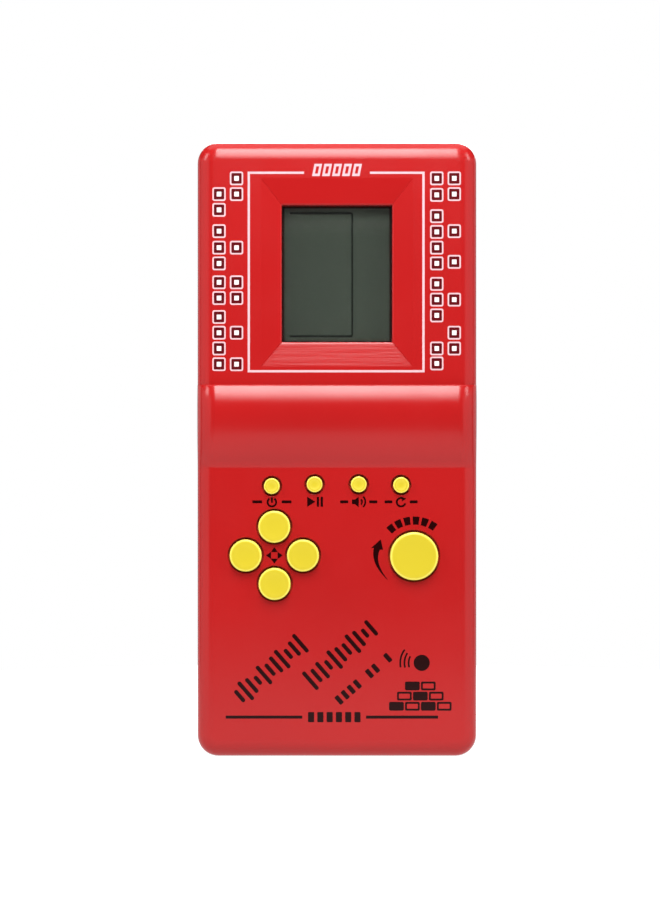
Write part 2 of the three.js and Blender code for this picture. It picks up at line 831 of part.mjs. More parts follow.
for (const [place, centre] of Object.entries(CASE_SCREWS)) {
  const size = { headRadius: 2.6, shankRadius: 1.2, headBack: 3.1, seat: 4.9, tip: 18 };
  add(`case_screw_${place}`, screw(centre, size), "steel");
}
for (const [place, centre] of Object.entries(BOARD_SCREWS)) {
  const size = { headRadius: 1.9, shankRadius: 0.95, headBack: 10.7, seat: 12.3, tip: 18.4 };
  add(`board_screw_${place}`, screw(centre, size), "steel");
}

export default part;
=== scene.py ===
"""Handheld LCD block game: fine shells, keys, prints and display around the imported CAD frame.

Lengths are in millimetres in "case coordinates" until a mesh is made: x to the right, z up, and depth,
the distance in front of the flat back. place() turns them into Blender's metres.
"""
import json
import math

import bmesh
import bpy
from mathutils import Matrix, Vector


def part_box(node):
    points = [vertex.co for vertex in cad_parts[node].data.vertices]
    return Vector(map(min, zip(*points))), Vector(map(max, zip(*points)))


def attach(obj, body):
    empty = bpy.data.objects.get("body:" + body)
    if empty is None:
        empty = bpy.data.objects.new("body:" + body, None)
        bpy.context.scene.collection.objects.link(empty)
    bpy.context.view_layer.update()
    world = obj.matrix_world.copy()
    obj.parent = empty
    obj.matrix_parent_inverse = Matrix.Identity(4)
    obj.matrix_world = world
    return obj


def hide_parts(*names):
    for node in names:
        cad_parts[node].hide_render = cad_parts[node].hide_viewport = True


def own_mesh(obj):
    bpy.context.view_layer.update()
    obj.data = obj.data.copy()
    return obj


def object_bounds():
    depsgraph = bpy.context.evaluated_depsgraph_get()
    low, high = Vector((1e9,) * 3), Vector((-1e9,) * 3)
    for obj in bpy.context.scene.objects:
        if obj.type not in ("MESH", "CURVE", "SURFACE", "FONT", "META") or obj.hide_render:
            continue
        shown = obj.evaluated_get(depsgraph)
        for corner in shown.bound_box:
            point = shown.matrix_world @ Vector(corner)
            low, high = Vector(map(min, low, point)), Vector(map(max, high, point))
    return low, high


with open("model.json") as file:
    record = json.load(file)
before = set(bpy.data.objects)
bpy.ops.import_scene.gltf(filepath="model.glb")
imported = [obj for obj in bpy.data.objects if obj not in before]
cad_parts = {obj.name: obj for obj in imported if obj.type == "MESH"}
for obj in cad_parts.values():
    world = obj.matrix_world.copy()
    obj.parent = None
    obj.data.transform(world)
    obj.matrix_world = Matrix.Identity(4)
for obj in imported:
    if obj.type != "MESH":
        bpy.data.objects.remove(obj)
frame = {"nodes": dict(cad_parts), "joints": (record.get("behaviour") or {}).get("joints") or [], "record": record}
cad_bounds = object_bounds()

MM = 0.001

# ---- sizes, from the frame and the case's design ----

case_low, case_high = (corner / MM for corner in cad_bounds)
HALF_WIDTH = case_high.x
HEIGHT = case_high.z
BACK_Y = case_high.y
FACE = 23.5
CREST = case_high.y - case_low.y  # depth at the top of the roll
SEAM = 11.0  # depth of the joint between the two halves
SEAM_GAP = 0.3
CORNER = 6.0
FACE_FILLET = 4.0  # how far the elliptical fillet round the face drops
FACE_FILLET_RUN = 5.0  # and how far in it starts
BACK_FILLET = 3.0
WALL = 2.0
BOARD_FRONT = 14.1
ROLL_BOTTOM, ROLL_CREST, ROLL_TOP = 83.3, 99.5, 106.4  # heights
ARC_STEPS = 10

RED = (0.365, 0.0074, 0.0076)


def place(x, z, depth):
    """Case coordinates in millimetres to a point in metres."""
    return Vector((x * MM, (BACK_Y - depth) * MM, z * MM))


def new_object(name, data):
    made = bpy.data.objects.new(name, data)
    bpy.context.scene.collection.objects.link(made)
    return made


def centre_of(node):
    """x and z, in millimetres, of the middle of a CAD node."""
    low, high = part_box(node)
    return (low.x + high.x) / 2 / MM, (low.z + high.z) / 2 / MM


# ---- mesh building ----


def circle(x, z, radius, count=48):
    steps = (2 * math.pi * k / count for k in range(count))
    return [(x + radius * math.cos(a), z + radius * math.sin(a)) for a in steps]


def rounded(x, z, half_width, half_height, radius, steps=5):
    """A rectangle with round corners, going round from its lower right corner."""
    outline = []
    corners = ((1, -1, -90), (1, 1, 0), (-1, 1, 90), (-1, -1, 180))
    for side_x, side_z, start in corners:
        centre_x = x + side_x * (half_width - radius)
        centre_z = z + side_z * (half_height - radius)
        for k in range(steps + 1):
            angle = math.radians(start + 90 * k / steps)
            outline.append((centre_x + radius * math.cos(angle), centre_z + radius * math.sin(angle)))
    return outline


def at_depth(outline, depth):
    return [(x, z, depth) for x, z in outline]


class Form:
    """Closed surfaces in case coordinates, which become one mesh."""

    def __init__(self):
        self.points = []
        self.faces = []

    def ring(self, points):
        start = len(self.points)
        self.points.extend(points)
        return list(range(start, len(self.points)))

    def bridge(self, first, second):
        count = len(first)
        for k in range(count):
            after = (k + 1) % count
            self.faces.append((first[k], first[after], second[after], second[k]))

    def loft(self, rings):
        """A solid through rings of equal count, closed flat at both ends."""
        made = [self.ring(points) for points in rings]
        for first, second in zip(made, made[1:]):
            self.bridge(first, second)
        self.faces.append(tuple(made[0]))
        self.faces.append(tuple(made[-1]))
        return self

    def tube(self, rings):
        """A solid whose last ring joins its first, such as a frame or a washer."""
        made = [self.ring(points) for points in rings]
        for first, second in zip(made, made[1:] + made[:1]):
            self.bridge(first, second)
        return self

    def turned(self, x, z, profile, count=48):
        """A turned solid: the profile is a list of (radius, depth)."""
        return self.loft([at_depth(circle(x, z, radius, count), depth) for radius, depth in profile])

    def slab(self, outline, back, front):
        return self.loft([at_depth(outline, back), at_depth(outline, front)])

    def frame(self, outer, inner, back, front):
        return self.tube(
            [at_depth(outer, back), at_depth(outer, front), at_depth(inner, front), at_depth(inner, back)]
        )

    def made(self, name):
        mesh = bpy.data.meshes.new(name)
        mesh.from_pydata([place(*point) for point in self.points], [], self.faces)
        shape = bmesh.new()
        shape.from_mesh(mesh)
        bmesh.ops.recalc_face_normals(shape, faces=shape.faces)
        shape.to_mesh(mesh)
        shape.free()
        return new_object(name, mesh)


def apply_modifier(piece, modifier):
    bpy.context.view_layer.objects.active = piece
    bpy.ops.object.modifier_apply(modifier=modifier.name)


def combine(piece, form, operation):
    """Joins a form to a piece or cuts it away. The form's solids don't touch each other."""
    tool = form.made("tool")
    modifier = piece.modifiers.new("combine", "BOOLEAN")
    modifier.operation = operation
    modifier.solver = "MANIFOLD"
    modifier.object = tool
    apply_modifier(piece, modifier)
    bpy.data.objects.remove(tool)


def shade(piece, sharp_degrees=32):
    """Smooth shading that keeps flat faces flat and real edges sharp."""
    mesh = piece.data
    shape = bmesh.new()
    shape.from_mesh(mesh)
    limit = math.radians(sharp_degrees)
    for face in shape.faces:
        face.smooth = True
    for edge in shape.edges:
        edge.smooth = len(edge.link_faces) == 2 and edge.calc_face_angle() < limit
    shape.to_mesh(mesh)
    shape.free()
    modifier = piece.modifiers.new("normals", "WEIGHTED_NORMAL")
    modifier.keep_sharp = True
    modifier.weight = 50
    apply_modifier(piece, modifier)


# ---- materials ----


class Finish:
    """A Principled material with helpers for procedural colour, roughness and relief."""

    def __init__(self, name, colour, roughness, metallic=0.0, ior=1.46):
        self.material = bpy.data.materials.new(name)
        self.material.use_nodes = True
        self.tree = self.material.node_tree
        self.shader = self.tree.nodes["Principled BSDF"]
        self.set("Base Color", (*colour, 1))
        self.set("Roughness", roughness)
        self.set("Metallic", metallic)
        self.set("IOR", ior)
        self.relief = None

    def set(self, socket, value):
        self.shader.inputs[socket].default_value = value

    def node(self, kind, **inputs):
        node = self.tree.nodes.new(kind)
        for name, value in inputs.items():
            node.inputs[name.replace("_", " ")].default_value = value
        return node

    def link(self, source, target):
        self.tree.links.new(source, target)

    def position(self):
        return self.node("ShaderNodeTexCoord").outputs["Object"]

    def coordinate(self, axis):
        """One object coordinate, which is the place in the part's frame in metres."""
        parts = self.node("ShaderNodeSeparateXYZ")
        self.link(self.position(), parts.inputs[0])
        return parts.outputs[axis]

    def noise(self, scale, detail=3.0):
        noise = self.node("ShaderNodeTexNoise", Scale=scale, Detail=detail)
        self.link(self.position(), noise.inputs["Vector"])
        return noise.outputs["Fac"]

    def streaks(self, along, across):
        """Noise drawn out along x, as plastic flows in a mould."""
        mapping = self.node("ShaderNodeMapping", Scale=(along, across, across))
        self.link(self.position(), mapping.inputs["Vector"])
        noise = self.node("ShaderNodeTexNoise", Scale=1.0, Detail=2.0)
        self.link(mapping.outputs["Vector"], noise.inputs["Vector"])
        return noise.outputs["Fac"]

    def remap(self, source, low, high, from_low=0.15, from_high=0.85):
        """Moves a value, such as a noise, from one range to another and holds it there."""
        ends = {"From_Min": from_low, "From_Max": from_high, "To_Min": low, "To_Max": high}
        remap = self.node("ShaderNodeMapRange", **ends)
        self.link(source, remap.inputs["Value"])
        return remap.outputs["Result"]

    def calculate(self, operation, first, second=None):
        """A maths node. The second operand is a socket or a number."""
        node = self.node("ShaderNodeMath")
        node.operation = operation
        self.link(first, node.inputs[0])
        if isinstance(second, bpy.types.NodeSocket):
            self.link(second, node.inputs[1])
        elif second is not None:
            node.inputs[1].default_value = second
        return node.outputs[0]

    def grade_colour(self, source, low_end, high_end):
        """A base colour that runs between two, each given with its value of the source."""
        ramp = self.tree.nodes.new("ShaderNodeValToRGB")
        for element, (position, colour) in zip(ramp.color_ramp.elements, (low_end, high_end)):
            element.position = position
            element.color = (*colour, 1)
        self.link(source, ramp.inputs["Fac"])
        self.link(ramp.outputs["Color"], self.shader.inputs["Base Color"])

    def vary_colour(self, scale, dark, light, detail=2.0):
        self.grade_colour(self.noise(scale, detail), (0.15, dark), (0.85, light))

    def vary_roughness(self, scale, low, high, detail=3.0):
        self.link(self.remap(self.noise(scale, detail), low, high), self.shader.inputs["Roughness"])

    def tint(self, factor, colour):
        """Mixes the base colour so far with another, by a socket that runs from 0 to 1."""
        target = self.shader.inputs["Base Color"]
        mix = self.tree.nodes.new("ShaderNodeMix")
        mix.data_type = "RGBA"
        self.link(factor, mix.inputs["Factor"])
        self.link(target.links[0].from_socket, mix.inputs["A"])
        mix.inputs["B"].default_value = (*colour, 1)
        self.link(mix.outputs["Result"], target)

    def bump(self, height, strength, distance):
        """Adds a relief on top of any before it. distance is the relief's full height in metres."""
        bump = self.node("ShaderNodeBump", Strength=strength, Distance=distance)
        self.link(height, bump.inputs["Height"])
        if self.relief:
            self.link(self.relief, bump.inputs["Normal"])
        self.relief = bump.outputs["Normal"]
        self.link(self.relief, self.shader.inputs["Normal"])


def scaled(colour, factor):
    return tuple(min(1.0, channel * factor) for channel in colour)


def moulded(name, colour, roughness):
    """Glossy moulded plastic: a slow drift of colour, a fine skin and the faint waves of a mould."""
    finish = Finish(name, colour, roughness)
    finish.set("Specular IOR Level", 0.4)
    finish.vary_colour(30, scaled(colour, 0.95), scaled(colour, 1.05), 1.0)
    finish.vary_roughness(90, roughness - 0.035, roughness + 0.03, 1.0)
    finish.bump(finish.noise(26, 1.0), 0.35, 0.00006)
    finish.bump(finish.streaks(7, 260), 0.25, 0.00002)
    finish.bump(finish.noise(2600, 1.0), 0.1, 0.000008)
    return finish


def within(finish, axis, middle, half, soft):
    """1 where an object coordinate is within half of a middle, in metres, and 0 beyond a soft edge."""
    offset = finish.calculate("SUBTRACT", finish.coordinate(axis), middle)
    return finish.remap(finish.calculate("ABSOLUTE", offset), 1.0, 0.0, half, half + soft)


DRAG_MARKS = (("X", 0, 18), ("Z", 114.6, 3))  # axis, middle and half width of the marked patch


def case_plastic():
    """The case's plastic, with the mould's drag marks on the lower slope round the display."""
    finish = moulded("case_red", RED, 0.225)
    marks = finish.streaks(45, 1300)
    for axis, middle, half in DRAG_MARKS:
        patch = within(finish, axis, middle * MM, half * MM, MM)
        marks = finish.calculate("MULTIPLY", marks, patch)
    finish.bump(marks, 0.8, 0.00006)
    return finish.material


case_red = case_plastic()


CAP_COLOUR = (0.53, 0.42, 0.017)
CAP_RIM_HIGHLIGHT = (0.76, 0.66, 0.09)
CAP_PAINTED_SHADE = (0.55, 0.03, 0.008)
PAINTED_SHADE_FROM, PAINTED_SHADE_TO = 23.2, 22.4  # depths between which a cap takes on painted shade and the red light bounced from the hole's walls


def cap_yellow():
    """The keys' plastic: paler on the rounded rim, a painted highlight, and darker red down in the hole, painted
    shade and red light bounced from the hole's walls.
    """
    finish = moulded("button_yellow", CAP_COLOUR, 0.34)
    facing = finish.node("ShaderNodeSeparateXYZ")
    finish.link(finish.node("ShaderNodeTexCoord").outputs["Normal"], facing.inputs[0])
    # painted highlight: the cap turns paler where its surface tips away from straight ahead, on the rounded rim
    rim = finish.remap(facing.outputs["Y"], 0.0, 1.0, -0.999, -0.955)
    finish.tint(rim, CAP_RIM_HIGHLIGHT)
    # painted shade and painted red bounced light on the part of the cap that sits down in the hole
    ends = (BACK_Y - PAINTED_SHADE_FROM) * MM, (BACK_Y - PAINTED_SHADE_TO) * MM
    finish.tint(finish.remap(finish.coordinate("Y"), 0.0, 1.0, *ends), CAP_PAINTED_SHADE)
    return finish.material


button_yellow = cap_yellow()


def ink(name, colour, gloss=0.3):
    """Pad-printed ink, faintly grained."""
    finish = Finish(name, colour, 0.2)
    finish.vary_colour(900, scaled(colour, 0.9), scaled(colour, 1.05), 2.0)
    finish.set("Specular IOR Level", gloss)
    finish.bump(finish.noise(3000, 2.0), 0.2, 0.000008)
    return finish.material


white_ink = ink("white_ink", (0.66, 0.42, 0.45))
pale_ink = ink("pale_ink", (0.86, 0.76, 0.77))
black_ink = ink("black_ink", (0.013, 0.0006, 0.0008), gloss=0.15)
maroon_ink = ink("maroon_ink", (0.09, 0.003, 0.006))


def glass_material():
    """Clear acrylic that lets lamps through to what is behind it."""
    finish = Finish("clear_window", (0.93, 0.96, 0.94), 0.03, ior=1.49)
    finish.set("Transmission Weight", 1.0)
    finish.bump(finish.noise(45, 1.0), 0.2, 0.00001)
    through = finish.node("ShaderNodeBsdfTransparent", Color=(0.9, 0.93, 0.91, 1))
    path = finish.tree.nodes.new("ShaderNodeLightPath")
    mix = finish.tree.nodes.new("ShaderNodeMixShader")
    finish.link(path.outputs["Is Shadow Ray"], mix.inputs[0])
    finish.link(finish.shader.outputs[0], mix.inputs[1])
    finish.link(through.outputs[0], mix.inputs[2])
    finish.link(mix.outputs[0], finish.tree.nodes["Material Output"].inputs["Surface"])
    return finish.material


def simple(
    name, colour, roughness, metallic=0.0, scale=300, spread=0.12, relief=0.00002, relief_scale=1500
):
    """A material that varies a little in colour, roughness and relief."""
    finish = Finish(name, colour, roughness, metallic)
    finish.vary_colour(scale, scaled(colour, 1 - spread), scaled(colour, 1 + spread))
    finish.vary_roughness(scale * 2, max(0.05, roughness - 0.08), min(1.0, roughness + 0.08))
    finish.bump(finish.noise(relief_scale, 3.0), 0.3, relief)
    return finish.material


def board_material():
    """Phenolic paper with copper tracks under a green-brown mask."""
    finish = Finish("circuit_board", (0.3, 0.18, 0.05), 0.45)
    wave = finish.node("ShaderNodeTexWave", Scale=160, Distortion=3, Detail=1)
    finish.link(finish.position(), wave.inputs["Vector"])
    finish.grade_colour(wave.outputs["Fac"], (0.48, (0.26, 0.15, 0.045)), (0.54, (0.42, 0.24, 0.08)))
    finish.bump(wave.outputs["Fac"], 0.3, 0.00003)
    return finish.material


FILM_PAINTED_LIGHT = (147.5, 157.5)  # heights between which the display's film grows paler, painted light that thins the shadow of the opening's top wall


def polariser_material():
    """The display's film: grey-green, faintly cloudy, and paler toward its top, painted light that thins the
    shadow of the opening's top wall.
    """
    finish = Finish("lcd_polariser", (0.0255, 0.03, 0.0235), 0.2)
    finish.vary_colour(70, (0.0235, 0.028, 0.022), (0.0275, 0.032, 0.025))
    finish.vary_roughness(200, 0.17, 0.24)
    # painted light: a paler film toward the top, where the opening's top wall casts its shadow
    rise = finish.remap(finish.coordinate("Z"), 0.0, 1.0, *(z * MM for z in FILM_PAINTED_LIGHT))
    finish.tint(finish.calculate("POWER", rise, 2.0), (0.085, 0.096, 0.077))
    return finish.material


clear_window = glass_material()
polariser = polariser_material()
display_black = ink("display_black", (0.004, 0.005, 0.004))
steel = simple("plated_steel", (0.62, 0.63, 0.64), 0.32, 1.0, 500)
CARRIED = {
    "lcd_glass": simple("lcd_glass", (0.3, 0.34, 0.31), 0.1),
    "reflector_foil": simple("reflector_foil", (0.5, 0.51, 0.48), 0.35, 0.8),
    "foam": simple("foam", (0.03, 0.03, 0.032), 0.95, relief=0.0002, relief_scale=900),
    "zebra_rubber": simple("zebra_rubber", (0.6, 0.2, 0.28), 0.7, scale=900, spread=0.3),
    "holder_plastic": simple("holder_plastic", (0.75, 0.73, 0.68), 0.5),
    "circuit_board": board_material(),
    "epoxy": simple("epoxy", (0.01, 0.01, 0.012), 0.25, relief=0.0001, relief_scale=200),
    "capacitor_sleeve": simple("capacitor_sleeve", (0.015, 0.03, 0.11), 0.3),
    "resistor_body": simple("resistor_body", (0.62, 0.46, 0.24), 0.5),
    "silicone": simple("silicone", (0.6, 0.6, 0.57), 0.6),
    "carbon_rubber": simple("carbon_rubber", (0.012, 0.012, 0.012), 0.85),
    "brass": simple("brass", (0.7, 0.48, 0.16), 0.28, 1.0),
    "piezo_ceramic": simple("piezo_ceramic", (0.78, 0.76, 0.7), 0.45),
    "plated_steel": steel,
    "red_insulation": simple("red_insulation", (0.42, 0.015, 0.012), 0.4),
    "black_insulation": simple("black_insulation", (0.012, 0.012, 0.013), 0.4),
    "lcd_polariser": polariser,
}
cell_sleeve = simple("cell_sleeve", (0.012, 0.13, 0.16), 0.25, 0.1, 120)
cell_band = simple("cell_band", (0.72, 0.36, 0.1), 0.3, 0.6, 200)


def cover(piece, material):
    piece.data.materials.clear()
    piece.data.materials.append(material)


def finish_piece(piece, material, body="root", nodes=()):
    """Gives a piece its material and body, and hides the CAD nodes that it replaces."""
    cover(piece, material)
    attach(piece, body)
    if nodes:
        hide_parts(*nodes)


# ---- case ----


def curve(points, steps):
    """Points along a Bezier curve of any degree."""
    degree = len(points) - 1
    made = []
    for k in range(steps + 1):
        t = k / steps
        weights = [math.comb(degree, i) * t**i * (1 - t) ** (degree - i) for i in range(degree + 1)]
        made.append(tuple(sum(w * p[axis] for w, p in zip(weights, points)) for axis in (0, 1)))
    return made


ROLL_RISE = CREST - FACE
ROLL_FALL = curve(
    [(ROLL_BOTTOM, 0), (ROLL_BOTTOM + 4, 1.95), (ROLL_CREST - 6, ROLL_RISE), (ROLL_CREST, ROLL_RISE)], 22
)
HEEL_BLEND = curve([(ROLL_BOTTOM - 0.8, 0), (ROLL_BOTTOM, 0), ROLL_FALL[4]], 7)
ROLL_BROW = curve([(ROLL_CREST, ROLL_RISE), (ROLL_TOP - 2.6, ROLL_RISE), (ROLL_TOP, 1.7)], 16)
ROLL_STEP = curve([ROLL_BROW[-2], (ROLL_TOP, 1.75), (ROLL_TOP + 0.02, 1.3)], 4) + [(ROLL_TOP + 0.04, 0)]
ROLL_SECTION = HEEL_BLEND + ROLL_FALL[5:] + ROLL_BROW[1:-2] + ROLL_STEP
STATIONS = [z for z, _ in ROLL_SECTION]
RISES = dict(ROLL_SECTION)


def fullness(z, most):
    """How much larger than elsewhere the fillet at the ends of the roll is."""
    return 1 + most * RISES.get(z, 0.0) / ROLL_RISE


def outline_of_case(inset, depth_at):
    """A ring round the case at an inset; depth_at gives the depth at a height."""
    radius = CORNER - inset
    middle = HALF_WIDTH - CORNER
    right = []
    for start, z in ((-90, CORNER), (0, HEIGHT - CORNER)):
        if start == 0:
            right.extend((HALF_WIDTH - inset * fullness(station, 0.12), station) for station in STATIONS)
        for k in range(ARC_STEPS + 1):
            angle = math.radians(start + 90 * k / ARC_STEPS)
            right.append((middle + radius * math.cos(angle), z + radius * math.sin(angle)))
    ring = right + [(-x, z) for x, z in reversed(right)]
    return [(x, z, depth_at(z)) for x, z in ring]


def case_solid(form, levels):
    """A solid from rings of (inset, depth at a height), closed by strips across the case."""
    rings = [form.ring(outline_of_case(inset, depth_at)) for inset, depth_at in levels]
    for first, second in zip(rings, rings[1:]):
        form.bridge(first, second)
    for ring in (rings[0], rings[-1]):
        half = len(ring) // 2
        for k in range(half - 1):
            form.faces.append((ring[k], ring[k + 1], ring[-2 - k], ring[-1 - k]))
    return form


def level(depth):
    return lambda z: depth


def above(depth, rise=1.0, drop=0.0):
    """Follows the roll: the given depth plus the roll's rise there, less a fillet's drop."""
    return lambda z: depth + rise * RISES.get(z, 0.0) - drop * fullness(z, 0.4)


def quarter(steps):
    """Points of a quarter circle, each as 1 - cosine and 1 - sine, for rounding an edge."""
    angles = (math.radians(90 * k / steps) for k in range(steps + 1))
    return [(1 - math.cos(a), 1 - math.sin(a)) for a in angles]


EDGE = 0.25  # the small radius on every moulded edge


def front_levels():
    seam = SEAM + SEAM_GAP / 2
    rim = [(EDGE * v, level(seam + EDGE * u)) for u, v in quarter(3)]
    fillet = [(FACE_FILLET_RUN * u, above(FACE, drop=FACE_FILLET * v)) for u, v in quarter(14)]
    return rim + fillet


def flared_hole(form, x, z, radius):
    """A round cutter through the face, with a soft edge."""
    flare = 0.12
    profile = [(radius, FACE - WALL - 2)]
    profile += [(radius + flare * u, FACE - flare * v) for u, v in quarter(4)]
    profile.append((radius + flare + 0.02, FACE + 1))
    form.turned(x, z, profile, 64)


KEYS = {
    "up": "large", "left": "large", "right": "large", "down": "large", "rotate": "rotate",
    "power": "small", "start_pause": "small", "sound": "small", "reset": "small",
}
KEY_SIZES = {
    "large": {"radius": 4.55, "hole": 5.15, "proud": 2.0, "rim": 0.85},
    "rotate": {"radius": 6.83, "hole": 7.45, "proud": 2.0, "rim": 0.95},
    "small": {"radius": 2.25, "hole": 2.9, "proud": 1.2, "rim": 0.6},
}
KEY_CENTRES = {name: centre_of(f"{name}_button") for name in KEYS}
CASE_SCREWS = [name for name in frame["nodes"] if name.startswith("case_screw")]
BOARD_SCREWS = [name for name in frame["nodes"] if name.startswith("board_screw")]

WINDOW_LOW, WINDOW_HIGH = (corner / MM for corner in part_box("display_window"))
WINDOW_BACK, WINDOW_FRONT = BACK_Y - WINDOW_HIGH.y, BACK_Y - WINDOW_LOW.y
DISPLAY_Z = (WINDOW_LOW.z + WINDOW_HIGH.z) / 2
WINDOW_HALF = ((WINDOW_HIGH.x - WINDOW_LOW.x) / 2, (WINDOW_HIGH.z - WINDOW_LOW.z) / 2)
OPENING = (15.8, 19.6)  # half sizes of the hole at the recess's foot
OPENING_Z = DISPLAY_Z - 0.25
MOUTH = (21.8, 26.95)  # half sizes of the recess at the face
RECESS_FLOOR = 22.6
SURROUND = 4.3  # how far the window's seat reaches past that hole
SCREW_BOSS, SCREW_BORE, SCREW_END = 2.8, 1.45, 19.5
BOARD_POST, BOARD_BORE, BOARD_SCREW_END = 2.2, 1.15, 19
LIP_INSET, LIP_RISE = 1.15, 1.7  # the back half's lip, which fits inside the front half's rebate
REBATE_INSET, REBATE_RISE = 0.85, 2


def recess_cutter(form):
    """The funnel round the display, with soft edges at its lip and its mouth."""
    width, height = OPENING
    mouth_width, mouth_height = MOUTH
    stretch = (mouth_height - height) / (mouth_width - width)
    run = mouth_width - width
    sections = [(0, 16, 0.3)]
    lip = 0.5
    sections += [(lip * u, RECESS_FLOOR + 0.06 - lip * v, 0.3) for u, v in quarter(5)]
    slope = (FACE - RECESS_FLOOR) / run
    sections += [(run - 0.45, FACE - 0.45 * slope, 0.35), (run - 0.1, FACE - 0.16 * slope, 0.4)]
    sections += [(run + 0.3, FACE + 0.01, 0.6), (run + 0.3, FACE + 2, 0.6)]
    rings = []
    for grow, depth, radius in sections:
        z = OPENING_Z + (DISPLAY_Z - OPENING_Z) * grow / run
        rings.append(at_depth(rounded(0, z, width + grow, height + grow * stretch, radius, 4), depth))
    form.loft(rings)


def mitre_cutters(form):
    """A fine V along each corner of the funnel, where its slopes meet."""
    inner = (OPENING[0] + 0.2, OPENING[1] + 0.2, RECESS_FLOOR, OPENING_Z)
    outer = (MOUTH[0] - 0.15, MOUTH[1] - 0.15, FACE, DISPLAY_Z)
    half, rise, fall = 0.39, 0.25, 0.1
    for side_x in (-1, 1):
        for side_z in (-1, 1):
            along_x, along_z = side_x * (outer[0] - inner[0]), side_z * (outer[1] - inner[1])
            length = math.hypot(along_x, along_z)
            across_x, across_z = -along_z / length * half, along_x / length * half
            rings = []
            for x, z, depth, middle_z in (inner, outer):
                x, z = side_x * x, middle_z + side_z * z
                edges = [(x + e * across_x, z + e * across_z, depth + rise) for e in (-1, 1)]
                rings.append(edges + [(x, z, depth - fall)])
            form.loft(rings)


def front_case():
    """The front half: a shell, its bosses and window seat, then the recess and every hole."""
    shell = case_solid(Form(), front_levels()).made("case_front")
    seam = SEAM + SEAM_GAP / 2
    inner = [
        (REBATE_INSET, level(seam - 3)),
        (REBATE_INSET, level(seam + REBATE_RISE)),
        (WALL, level(seam + REBATE_RISE)),
        (WALL, above(FACE - WALL - 2, 0.75)),
        (WALL + 0.6, above(FACE - WALL - 0.6, 0.75)),
        (WALL + 2, above(FACE - WALL, 0.75)),
    ]
    combine(shell, case_solid(Form(), inner), "DIFFERENCE")
    inside = Form()
    inside_face = FACE - WALL + 0.5
    for name in CASE_SCREWS:
        inside.turned(*centre_of(name), [(SCREW_BOSS, SEAM + 1), (SCREW_BOSS, inside_face)], 32)
    for name in BOARD_SCREWS:
        inside.turned(*centre_of(name), [(BOARD_POST, BOARD_FRONT), (BOARD_POST, inside_face)], 32)
    seat = rounded(0, DISPLAY_Z, OPENING[0] + SURROUND, OPENING[1] + SURROUND, 2)
    inside.slab(seat, WINDOW_FRONT + 0.1, inside_face)
    combine(shell, inside, "UNION")
    cutters = Form()
    recess_cutter(cutters)
    for name, size in KEYS.items():
        flared_hole(cutters, *KEY_CENTRES[name], KEY_SIZES[size]["hole"])
    for name in CASE_SCREWS:
        cutters.turned(*centre_of(name), [(SCREW_BORE, 5), (SCREW_BORE, SCREW_END)], 24)
    for name in BOARD_SCREWS:
        cutters.turned(*centre_of(name), [(BOARD_BORE, 5), (BOARD_BORE, BOARD_SCREW_END)], 24)
    combine(shell, cutters, "DIFFERENCE")
    mitres = Form()
    mitre_cutters(mitres)
    combine(shell, mitres, "DIFFERENCE")
    shade(shell)
    finish_piece(shell, case_red, nodes=["front_shell"])


BAY_HALF_WIDTH, BAY_BOTTOM, BAY_TOP, BAY_FLOOR = 28.4, 83.0, 112.0, 16.7
BAY_RIM, BAY_BOX = (32.4, 17.9), (29.2, 15.3)  # half sizes of the bay's outside
_, DOOR_HIGH = (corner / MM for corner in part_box("battery_door"))
DOOR_TOP = frame["joints"][-1]["pos_m"][2] / MM  # the height of its hinge
DOOR_BOTTOM = 81.6
DOOR_HALF_WIDTH = DOOR_HIGH.x
DOOR_THICKNESS = 1.8
DOOR_GAP = 0.4
DOOR_MIDDLE = (DOOR_TOP + DOOR_BOTTOM) / 2
DOOR_HALF_HEIGHT = (DOOR_TOP - DOOR_BOTTOM) / 2
HOOK_X = 18
LATCH_Z = 80.8
SLOT_PITCH, SLOT_HALF = 3, (6, 0.6)  # the slots that let the sound out
WELL, WELL_FLOOR = 3.1, 5  # each case screw's well: its radius and depth


def flared_slab(form, x, z, half_width, half_height, radius, inside_depth, edge=EDGE):
    """A rounded rectangular cutter through the back, with a soft edge."""
    sections = [(0, inside_depth)]
    sections += [(edge * u, edge * v - 0.005) for u, v in quarter(3)]
    rings = []
    for grow, depth in sections + [(edge + 0.01, -1)]:
        outline = rounded(x, z, half_width + grow, half_height + grow, radius + grow)
        rings.append(at_depth(outline, depth))
    form.loft(rings)


